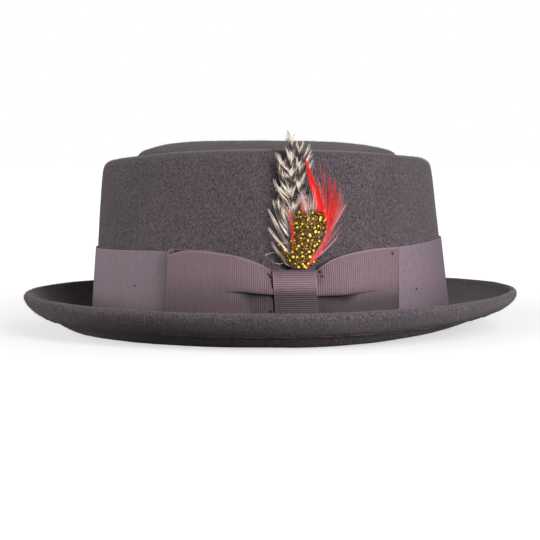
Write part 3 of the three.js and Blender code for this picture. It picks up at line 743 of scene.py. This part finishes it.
# %% [markdown]
# ## Barbs
# A feather is a quill with hundreds of barbs. One straight barb is modelled once, as a thin
# three-sided cone cut into lengths. Every other barb is a copy of it, bent along a curve from
# its root to its tip, and each plume is one joined mesh of such copies.
# %% Model one barb
deselect_all()
bpy.ops.mesh.primitive_cone_add(vertices=3, radius1=0.5, radius2=0.07, depth=1, end_fill_type="NGON",
                                location=(0, 0, 0.5))
barb_model = bpy.context.object
bpy.ops.object.transform_apply(location=True)
bpy.ops.object.mode_set(mode="EDIT")
for height in (0.2, 0.42, 0.64, 0.84):
    bpy.ops.mesh.select_all(action="SELECT")
    bpy.ops.mesh.bisect(plane_co=(0, 0, height), plane_no=(0, 0, 1))
bpy.ops.object.mode_set(mode="OBJECT")
barb_points = np.array([tuple(v.co) for v in barb_model.data.vertices])
barb_faces = [tuple(face.vertices) for face in barb_model.data.polygons]
bpy.data.objects.remove(barb_model)
print("one barb:", len(barb_points), "points,", len(barb_faces), "faces")

# %% [markdown]
# ## Where the feathers stand
# The plumes stand in flat layers above the knot, just off the crown, and lean with it. A plume
# is drawn in its own plane, in millimetres across, up and toward the viewer.
# %% The plumes' plane and the barb comb
KNOT_TOP, PLUME_LEAN = 40.9, 1.6
FIRST_LAYER, LAYER_STEP = 2.2, 1.5
BAR_SLOPE = 1.1  # how steeply the bars fall away from the quill
UV_MM = 10  # millimetres to one unit of a plume's UV map
feather_root = on_bow_side(BOW_X, KNOT_TOP, 0)
slope = feather_root - on_bow_side(BOW_X + 0.01, KNOT_TOP, 0)
turn = math.atan2(-slope.y, -slope.x)
upright = Matrix.Rotation(math.pi / 2 - math.radians(PLUME_LEAN), 4, "X")
plume_turn = Matrix.Rotation(turn, 4, "Z") @ upright
outward = Vector((math.sin(turn), -math.cos(turn), 0))
rng = np.random.default_rng(11)


def plume_place(layer):
    stand = FIRST_LAYER + layer * LAYER_STEP
    root = feather_root + outward * stand
    root.z = on_bow_side(BOW_X, KNOT_TOP, stand + 0.6).z + 0.3
    return Matrix.Translation(root * MM) @ plume_turn @ Matrix.Scale(MM, 4)


def comb(name, layer, barbs):
    """barbs: rows of root, control and tip (three numbers each), width, tone, paleness, the
    quill's place across and the shift of its bars."""
    rows = np.array(barbs, float)
    root, control, tip = rows[:, 0:3], rows[:, 3:6], rows[:, 6:9]
    width, tone, pale = rows[:, 9], rows[:, 10], rows[:, 11]
    t = barb_points[:, 2][None, :, None]
    curve = (1 - t) ** 2 * root[:, None] + 2 * t * (1 - t) * control[:, None] + t ** 2 * tip[:, None]
    along = 2 * (1 - t) * (control - root)[:, None] + 2 * t * (tip - control)[:, None]
    side = np.stack([along[..., 1], -along[..., 0], np.zeros_like(along[..., 0])], axis=-1)
    side /= np.maximum(np.linalg.norm(side, axis=-1, keepdims=True), 1e-9)
    points = curve + side * (barb_points[:, 0][None, :, None] * width[:, None, None])
    points[..., 2] += barb_points[:, 1][None, :] * width[:, None] * 0.8
    count = len(barb_points)
    faces = [tuple(i + k * count for i in face) for k in range(len(rows)) for face in barb_faces]
    mesh = bpy.data.meshes.new(name)
    mesh.from_pydata(points.reshape(-1, 3).tolist(), [], faces)
    bar = points[..., 1] - BAR_SLOPE * np.abs(points[..., 0] - rows[:, 12:13]) + rows[:, 13:14]
    write_values(mesh, "tone", np.repeat(tone, count))
    write_values(mesh, "pale", np.repeat(pale, count))
    write_values(mesh, "bar", bar.ravel())
    flat = points.reshape(-1, 3)[:, :2] / UV_MM
    uv = mesh.uv_layers.new(name="plane")
    corner = np.zeros(len(mesh.loops), int)
    mesh.loops.foreach_get("vertex_index", corner)
    uv.data.foreach_set("uv", flat[corner].ravel())
    plume = bpy.data.objects.new(name, mesh)
    bpy.context.scene.collection.objects.link(plume)
    mesh.transform(plume_place(layer))
    turn_normals_out(plume)
    return plume


def lock(start, control, tip, count, width, spread, pale, depth, loose, bars=(0.0, 0.0)):
    """A lock of barbs that leave the quill one after the other and close up at a tip."""
    start, control, tip = (np.array(p, float) for p in (start, control, tip))
    rows = []
    for _ in range(count):
        slip = max(-0.12, rng.normal(0, loose))
        here = start + (tip - start) * slip + rng.normal(0, spread * 0.5, 2)
        short = rng.uniform(0, 0.3) ** 1.5
        end = tip - (tip - control) * short * 1.6 + rng.normal(0, spread * (0.35 + 1.6 * short), 2)
        mid = control + rng.normal(0, spread, 2)
        z = depth + rng.normal(0, 0.22)
        rows.append((*here, depth + rng.normal(0, 0.12), *mid, z, *end, z + rng.normal(0, 0.2),
                     width * rng.uniform(0.5, 1.3), rng.uniform(), np.clip(pale + rng.normal(0, 0.12), 0, 1),
                     bars[0], bars[1] + rng.normal(0, 0.7)))
    return rows


print("plume plane turned", round(math.degrees(turn), 1), "degrees")

# %% [markdown]
# ## Feather looks
# All three feathers share one effect: each barb is a little lighter or darker than the next, and
# streaks run along it. The barred feather adds light and dark chevrons, the spotted one round
# yellow spots with a dark rim.
# %% Barb streak group and the three feather materials
BAR_PITCH = 9.3
streaks, streak_in = new_group("barb_streaks", {"Low": 0.7, "High": 1.15}, ["Shade", "Pale"])
barb_tone = maths(streaks, "MULTIPLY", mesh_value(streaks, "tone"), 0.6)
fine_tone = maths(streaks, "MULTIPLY", noise(streaks, flat_place(streaks), 7.0, 3.0), 0.4)
mixed = maths(streaks, "ADD", barb_tone, fine_tone)
shade = add_node(streaks, "ShaderNodeMapRange", {"Value": mixed, "To Min": streak_in["Low"],
                                                "To Max": streak_in["High"]})
add_node(streaks, "NodeGroupOutput", {"Shade": shade.outputs["Result"],
                                      "Pale": mesh_value(streaks, "pale")})


def feather_material(name, pattern, low, high):
    material, tree, shader = new_material(name, 0.5, 0.2, 0.4, (1, 1, 1), 0.35)
    strand = add_node(tree, "ShaderNodeGroup", node_tree=streaks)
    strand.inputs["Low"].default_value = low
    strand.inputs["High"].default_value = high
    colour = pattern(tree, strand.outputs["Pale"])
    grey = add_node(tree, "ShaderNodeCombineColor", {k: strand.outputs["Shade"] for k in range(3)})
    streaky = blend(tree, 1.0, colour, grey.outputs["Color"], "MULTIPLY")
    tree.links.new(streaky, shader.inputs["Base Color"])
    return material


def barred(tree, pale):
    """Bars along each barb; together they make chevrons that open upward."""
    phase = maths(tree, "FRACT", maths(tree, "DIVIDE", mesh_value(tree, "bar"), BAR_PITCH))
    bars = ramp(tree, phase, [(0.0, (0.62, 0.50, 0.38)), (0.07, (0.95, 0.84, 0.70)),
                              (0.38, (0.97, 0.90, 0.82)), (0.46, (0.05, 0.03, 0.024)),
                              (0.86, (0.035, 0.02, 0.016)), (0.97, (0.34, 0.24, 0.18))])
    return blend(tree, pale, bars, (0.86, 0.70, 0.69))


def red_dyed(tree, pale):
    return blend(tree, pale, (0.84, 0.010, 0.010), (0.86, 0.46, 0.46))


def spotted(tree, pale):
    """Round spots of different sizes, each with a dark rim, on mottled gold-brown."""
    plain = flat_place(tree)
    stir = noise(tree, plain, 5.0, 1.0, output="Color")
    small = add_node(tree, "ShaderNodeVectorMath", {0: stir, 1: (0.12, 0.12, 0.0)}, operation="MULTIPLY")
    moved = add_node(tree, "ShaderNodeVectorMath", {0: plain, 1: small.outputs[0]}, operation="ADD")
    stirred = moved.outputs[0]
    cells = add_node(tree, "ShaderNodeTexVoronoi", {"Vector": stirred, "Scale": 3.3, "Randomness": 0.8},
                     voronoi_dimensions="2D")
    chance = add_node(tree, "ShaderNodeSeparateXYZ", {"Vector": cells.outputs["Color"]}).outputs["X"]
    size = maths(tree, "MULTIPLY_ADD", chance, 0.15, 0.17)
    reach = maths(tree, "DIVIDE", cells.outputs["Distance"], size)
    ground = ramp(tree, noise(tree, stirred, 11.0, 3.0),
                  [(0.43, (0.022, 0.008, 0.006)), (0.51, (0.13, 0.05, 0.022)),
                   (0.59, (0.40, 0.20, 0.045)), (0.69, (0.90, 0.62, 0.10))])
    spot = ramp(tree, reach, [(0.0, (1.0, 0.95, 0.22)), (0.70, (0.95, 0.80, 0.04)),
                              (1.0, (0.03, 0.010, 0.006))])
    return blend(tree, maths(tree, "LESS_THAN", reach, 1.5), ground, spot)


barred_look = feather_material("barred_barbs", barred, 0.75, 1.15)
red_look = feather_material("red_barbs", red_dyed, 0.7, 1.2)
spotted_look = feather_material("spotted_barbs", spotted, 0.6, 1.3)
print("three feather materials share", streaks.name)

# %% [markdown]
# ## Barred plume
# Three cream and black-brown hackles overlap. Their barbs leave the quill at a narrow angle and
# stick together in small clumps, each with its own length and bend, and its bars a little higher
# or lower than the next. Loose wisps stand out at the sides, and pale fluff fills the foot.
# %% Comb the barred plume
hackles = [
    # quill's heights and places across, first and last clump, clumps, reach, widest angle, bar shift,
    # depth
    ([0, 36.7, 43, 58, 67, 73.4], [0, -1.8, -2.6, -2.0, -2.0, -5.0], (24, 66), 92, (9, 15), 34, 7.4, 0.5),
    ([0, 24, 46, 66], [1, 1.4, 2.6, 2.8], (30, 61), 66, (8, 13), 34, 3.4, 0.0),
    ([0, 30, 50, 64], [-2, -3.6, -5.2, -5.6], (18, 54), 44, (9, 14), 40, 0.6, -0.4),
]
barbs = []
for heights, places, (first, last), clumps, reach, widest, shift, depth in hackles:
    for k in range(clumps):
        share = rng.uniform() ** 0.9
        up = first + (last - first) * share
        root = np.array([np.interp(up, heights, places), up])
        lean = math.radians(rng.uniform(0.15, 1) * widest * (1.1 - 0.7 * share)) * (1 if k % 2 else -1)
        length = rng.uniform(*reach) * (1.05 - 0.45 * share)
        flare = lean * rng.uniform(0.8, 1.45)
        tip = root + length * np.array([math.sin(flare), math.cos(flare)])
        control = root + length * 0.55 * np.array([math.sin(lean * 0.6), math.cos(lean * 0.6)])
        barbs += lock(root, control, tip, 13, 0.24, 0.5, 0.0, depth + rng.normal(0, 0.4), 0.13,
                      (root[0], shift + rng.normal(0, 0.9)))

wisps = [  # root, control and tip in mm, barbs, and how pale
    ((-2, 52), (-7.6, 54), (-10.6, 62.6), 15, 0), ((-3, 50), (-7, 54), (-8.6, 61.5), 13, 0),
    ((-3, 41), (-8.4, 46), (-8.8, 57), 16, 0), ((-3.5, 42), (-7, 48), (-7.2, 54), 14, 0),
    ((-3, 38), (-9.6, 42), (-10.9, 48.5), 13, 0), ((-4, 36), (-9, 40), (-9.4, 45), 11, 0),
    ((-3, 22), (-11, 29), (-7.2, 44), 12, 0.15), ((-4, 24), (-8, 30), (-5.8, 40), 10, 0.2),
    ((-3, 17), (-9.6, 25), (-11.3, 37.4), 13, 0.15), ((-2, 10), (-8.5, 21), (-14.2, 32), 14, 0.25),
    ((-2, 9), (-7.5, 18), (-11.5, 28), 12, 0.3), ((-1, 6), (-8, 13.5), (-14.2, 22.6), 12, 0.3),
    ((0, 2), (-7.5, 6), (-12.6, 14.6), 14, 0.3), ((0, 1), (-4.6, 1.4), (-7.4, 6.4), 12, 0.7),
    ((-1, 19), (-3.2, 27), (-7.2, 34.5), 13, 0.7), ((-1, 16), (-4, 22), (-6.6, 29), 12, 0.6),
    ((2, 55), (3.2, 60), (4.6, 68.6), 14, 0), ((3, 55), (5.4, 59), (7.8, 66.4), 11, 0),
    ((1, 56), (1.6, 61), (1.4, 68.4), 15, 0), ((3.5, 53), (6.2, 57), (9.2, 63.6), 11, 0.1),
    ((4, 49), (7.2, 52), (9.9, 58.6), 10, 0.2), ((-2.6, 60), (-3, 66), (-4.6, 73.4), 12, 0.1),
]
LIGHT_BAR = BAR_PITCH * 9 + 3.4  # a place well inside a light bar
for root, control, tip, count, paleness in wisps:
    light = LIGHT_BAR - (tip[1] - BAR_SLOPE * abs(tip[0] - root[0]))
    for part in range(3):
        stray = rng.normal(0, 0.35, 2)
        barbs.append((*root, 1.0, *np.add(control, stray), 1.2, *np.add(tip, stray), 1.0,
                      rng.uniform(0.36, 0.5), 0.9, paleness, root[0], light))
    for part in range(2):
        turn_out = rng.normal(0, 0.8, 2)
        bend, end = np.add(control, turn_out * 0.6), np.add(tip, turn_out - (0, 1.2 * part))
        barbs += lock(root, bend, end, count * 2 // 3, 0.21, 0.65, paleness, rng.uniform(0.1, 0.9), 0.12,
                      (root[0], light))
# Lilac-white fluff: at the foot on the left, and above the pad's top
for k in range(36):
    root = np.array([rng.uniform(-2, 1.5), rng.uniform(3, 27)])
    angle = math.radians(-rng.uniform(5, 48))
    reach = rng.uniform(7, 13)
    tip = root + reach * np.array([math.sin(angle), math.cos(angle)])
    control = (root + tip) / 2 + rng.normal(0, 0.8, 2) + np.array([1.0, -0.6])
    barbs += lock(root, control, tip, 5, 0.17, 0.8, rng.uniform(0, 0.5), rng.uniform(0.4, 1.6), 0.1,
                  (root[0], rng.uniform(-5, 5)))
for k in range(46):
    root = np.array([rng.normal(7.4, 1.5), rng.uniform(22, 27)])
    tip = np.array([rng.uniform(0.5, 11.2), rng.uniform(30, 46)])
    control = (root + tip) / 2 + rng.normal(0, 0.9, 2) + np.array([0.8, -0.8])
    barbs += lock(root, control, tip, 6, 0.19, 0.6, rng.uniform(0.3, 1), rng.uniform(1.2, 4.6), 0.08,
                  (root[0], rng.uniform(-9, 9)))
# A few stray hairs: start, control and tip
stray_hairs = [
    ((-6.5, 3), (-11.5, 1.6), (-16, 7.4)), ((-16, 7.4), (-12, 9.6), (-8.4, 8.8)),
    ((-3, 10), (-9, 12.5), (-13, 20)), ((-2, 13), (-10, 14), (-11, 18)),
    ((6, 42), (8.4, 48), (11, 58.5)), ((6, 45), (9, 52), (9.6, 61.5)),
]
for start, control, tip in stray_hairs:
    barbs.append((*start, 0.9, *control, 1.2, *tip, 0.9, 0.26, 0.9, 0.4, start[0], 4 - start[1]))
barred_plume = comb("barred_plume", 0, barbs)
finish_piece(barred_plume, barred_look, ["feather_grizzly"])

# %% [markdown]
# ## Red plume
# A dyed hackle whose barbs spread like a fan from behind the spotted pad. One dense spike leans
# to the left, thin strands rise beside it, and a pale pink edge runs down the right.
# %% Comb the red plume
red_locks = [
    # start, control, tip, barbs, width, spread, paleness, depth
    ((14.6, 26), (8.6, 41), (5.6, 58.8), 90, 0.32, 0.4, 0, 0.5),
    ((15.6, 25), (10.4, 41), (5.9, 58), 100, 0.32, 0.5, 0, 0.5),
    ((16.6, 24), (12.2, 41), (6.8, 54.6), 90, 0.30, 0.5, 0, 0.4),
    ((17, 23), (13.8, 38), (8.6, 50), 70, 0.28, 0.6, 0.02, 0.3),
    ((16.6, 24), (15, 35), (11, 44.5), 50, 0.26, 0.7, 0.03, 0.2),
    ((16.6, 26), (12.8, 41), (8.8, 52.6), 9, 0.15, 0.9, 0.8, -0.5),
    ((16, 28), (12.6, 42), (10.2, 50.5), 8, 0.15, 0.9, 0.8, -0.6),
    ((16.6, 26), (13.6, 40), (10.4, 55.6), 11, 0.18, 0.7, 0.25, 0),
    ((16.8, 26), (15.6, 41), (13.4, 56.2), 15, 0.18, 0.6, 0.12, 0),
    ((17, 25), (17.4, 40), (15.6, 52.8), 17, 0.18, 0.6, 0.1, 0),
    ((16, 27), (15, 38), (12.4, 48), 14, 0.17, 0.9, 0.75, 0),
    ((17, 24), (20, 36), (18.6, 50.8), 34, 0.20, 0.6, 0, 0.1),
    ((17, 24), (19, 34), (20.2, 45), 34, 0.20, 0.7, 0, 0.2),
    ((17, 23), (22.2, 34), (21.2, 48.6), 26, 0.19, 0.7, 0.06, 0.1),
    ((17, 22), (21.2, 31), (22.6, 41), 30, 0.19, 0.8, 0.05, 0.2),
    ((17, 21), (24, 32), (24.4, 47.2), 20, 0.18, 0.6, 0.1, 0.1),
    ((16.8, 20), (23, 29), (25.2, 42.6), 16, 0.17, 0.8, 0.4, 0.1),
    ((16.6, 20), (24.4, 29), (26.4, 40.8), 12, 0.16, 0.6, 0.5, 0),
    ((15, 14), (22, 25), (28.4, 35.8), 30, 0.18, 0.6, 0.75, 0.3),
    ((15.6, 15), (21, 24), (26.4, 36), 26, 0.18, 0.8, 0.45, 0.4),
    ((13, 10), (20, 20), (25, 33), 44, 0.20, 0.9, 0.7, 0.5),
    ((12, 10), (18.6, 19), (23.4, 30), 50, 0.22, 0.8, 0.35, 0.8),
    ((8, 3), (18, 14), (21, 30), 64, 0.22, 1.3, 0.15, 0.9),
    ((6, 2), (14.6, 9), (19.2, 21.5), 34, 0.22, 1.5, 0.12, 1.9),
    ((5, 2), (11.4, 6), (16.6, 15), 22, 0.22, 1.6, 0.15, 2.3),
    ((9, 5), (14.6, 11), (17.4, 21), 34, 0.20, 1, 0.7, 2.1),
    ((0.4, 3), (-1.9, 20), (-2.2, 32.5), 22, 0.22, 0.8, 0.1, 2.3),
    ((-0.6, 16), (-2.4, 25), (-4.6, 32.4), 16, 0.18, 0.6, 0.4, 1.4),
    ((5, 24), (4.5, 31), (2, 39), 16, 0.17, 1, 0.2, 2.6),
    ((7, 26), (7, 32), (6, 40), 14, 0.16, 1.1, 0.3, 2.6),
    ((8, 3), (19, 12), (25.6, 20.8), 8, 0.15, 0.6, 1, 0.4),
    ((9, 4), (17, 10), (23.5, 16.6), 8, 0.14, 0.9, 0.8, 0.4),
    ((14, 11), (20, 17), (25, 24), 9, 0.14, 1.2, 0.8, 0.4),
]
barbs = []
for start, control, tip, count, width, spread, paleness, depth in red_locks:
    barbs += lock(start, control, tip, count, width, spread, paleness, depth, 0.05)
red_plume = comb("red_plume", 1, barbs)
finish_piece(red_plume, red_look, ["feather_red"])

# %% [markdown]
# ## Spotted pad
# Small spotted body feathers lie over each other like shingles and make a plump teardrop. Its
# body is a flattened ball drawn in to a point at the knot, and short barbs cover it.
# %% Shape the spotted pad
SPOTTED_LENGTH, PAD_DOME, PAD_BARBS = 30.5, 1.4, 1900
pad_outline = {  # height, left and right edge, in mm
    "up": [0, 4, 8, 12, 17, 21, 24, 26.5, 28.5, 30],
    "left": [-1.6, -2.0, -1.8, -1.4, -1.2, -0.8, 0.2, 1.6, 3.6, 6.0],
    "right": [6.0, 7.8, 9.8, 12.0, 14.8, 16.0, 15.6, 14.4, 12.4, 9.5],
}


def pad_edges(up):
    return tuple(float(np.interp(up, pad_outline["up"], pad_outline[key])) for key in ("left", "right"))


deselect_all()
bpy.ops.mesh.primitive_uv_sphere_add(segments=48, ring_count=32, radius=1)
pad_core = bpy.context.object
pad_core.name = "spotted_pad"
for vertex in pad_core.data.vertices:
    x, z, y = vertex.co
    up = (y + 1) / 2 * SPOTTED_LENGTH
    left, right = pad_edges(up)
    ring = math.sqrt(max(1e-6, 1 - y * y))
    place = x / max(ring, 0.02)
    half = (right - left) / 2
    vertex.co = ((left + right) / 2 + place * half * min(1, ring * 2.2), up, -z * PAD_DOME)
flat = pad_core.data.uv_layers.active.data
for loop in pad_core.data.loops:
    co = pad_core.data.vertices[loop.vertex_index].co
    flat[loop.index].uv = (co.x / UV_MM, co.y / UV_MM)
pad_core.data.uv_layers.active.name = "plane"
for key, value in (("tone", 0.4), ("pale", 0.0), ("bar", 0.0)):
    write_values(pad_core.data, key, [value] * len(pad_core.data.vertices))
pad_core.data.transform(plume_place(2))
turn_normals_out(pad_core)

barbs = []
for k in range(PAD_BARBS):
    up = rng.uniform(0, 28)
    left, right = pad_edges(up)
    share = rng.uniform(0, 1)
    root = np.array([left + (right - left) * share, up])
    angle = math.radians((share - 0.42) * 55 + rng.normal(0, 10))
    reach = rng.uniform(2.2, 4.6) + 1.6 * max(0, up - 22) / 6 * rng.uniform()
    tip = root + reach * np.array([math.sin(angle), math.cos(angle)])
    dome = PAD_DOME * math.sqrt(max(0.05, 1 - (2 * share - 1) ** 2))
    z = dome + rng.uniform(-0.1, 0.35)
    barbs.append((*root, z - 0.3, *((root + tip) / 2), z + 0.1, *tip, z - 0.05, rng.uniform(0.3, 0.6),
                  rng.uniform(), 0, 0, 0))
# Small spotted feathers stand out low at the sides, two on the left and one on the right
side_feathers = [
    ((0, 2), (-5, 7), (-9.6, 14.5), 60), ((0, 1), (-4, 4), (-8, 9.5), 30),
    ((6, 1), (10, 3), (14.8, 7), 26),
]
for start, control, tip, count in side_feathers:
    barbs += lock(start, control, tip, count, 0.34, 0.8, 0.0, 0.3, 0.1)
spotted_plume = comb("spotted_plume", 2, barbs)
pick(spotted_plume)
pad_core.select_set(True)
bpy.ops.object.join()
finish_piece(spotted_plume, spotted_look, ["feather_spotted"])

# %% [markdown]
# ## Floor and light
# A white floor and a white surround, as in a shop's picture. The key light is a soft lamp in front,
# to the right and above. A small lamp, low and near on the same side, makes the right half of the
# hat brighter still. One lamp on the left and one behind fill in. Floor and surround are white to
# the eye, but send only a little light back to the hat, so that the underside stays dark.
# %% Floor, world and lamps
deselect_all()
bpy.ops.mesh.primitive_plane_add(size=40)
floor = bpy.context.object
floor.name = "pale_floor"
floor_look, floor_tree, floor_shader = new_material("pale_paper", 0.9, specular=0.1)
to_eye = add_node(floor_tree, "ShaderNodeLightPath").outputs["Is Camera Ray"]
paper = ramp(floor_tree, add_node(floor_tree, "ShaderNodeTexNoise", {"Scale": 3.0}).outputs["Fac"],
             [(0.3, (0.40, 0.40, 0.40)), (0.7, (0.42, 0.42, 0.42))])
seen = blend(floor_tree, to_eye, (0.13, 0.125, 0.125), paper)
floor_tree.links.new(seen, floor_shader.inputs["Base Color"])
floor_shader.inputs["Emission Color"].default_value = (1, 1, 1, 1)
far = add_node(floor_tree, "ShaderNodeVectorMath", {0: object_place(floor_tree)}, operation="LENGTH")
glow = add_node(floor_tree, "ShaderNodeMapRange", {"Value": far.outputs["Value"], "From Min": 0.15,
                                                   "From Max": 0.6, "To Min": 0.62, "To Max": 1.05})
seen_glow = maths(floor_tree, "MULTIPLY", to_eye, glow.outputs["Result"])
floor_tree.links.new(seen_glow, floor_shader.inputs["Emission Strength"])
floor.data.materials.append(floor_look)

world = bpy.data.worlds.new("white_surround")
world.use_nodes = True
surround = world.node_tree
to_eye = add_node(surround, "ShaderNodeLightPath").outputs["Is Camera Ray"]
surround.nodes["Background"].inputs["Color"].default_value = (1, 1, 1, 1)
strength = add_node(surround, "ShaderNodeMapRange", {"Value": to_eye, "To Min": 0.18, "To Max": 1.0})
surround.links.new(strength.outputs["Result"], surround.nodes["Background"].inputs["Strength"])
bpy.context.scene.world = world
LAMP_AIM = Vector((0, 0, 0.05))


def soft_lamp(name, place, size, power):
    """A square lamp at place that faces the hat."""
    lamp_data = bpy.data.lights.new(name, "AREA")
    lamp_data.size = size
    lamp_data.energy = power
    lamp = bpy.data.objects.new(name, lamp_data)
    lamp.location = place
    lamp.rotation_euler = (LAMP_AIM - Vector(place)).to_track_quat("-Z", "Y").to_euler()
    bpy.context.scene.collection.objects.link(lamp)


soft_lamp("key_above_right", (0.36, -0.77, 0.55), 0.35, 3.7)
soft_lamp("near_right", (0.28, -0.43, 0.14), 0.16, 2.4)
soft_lamp("side_left", (-0.88, -0.08, 0.2), 0.5, 8.0)
soft_lamp("behind", (0.3, 1.1, 0.4), 0.8, 2.4)
print("lamps:", [light.name for light in bpy.data.lights])
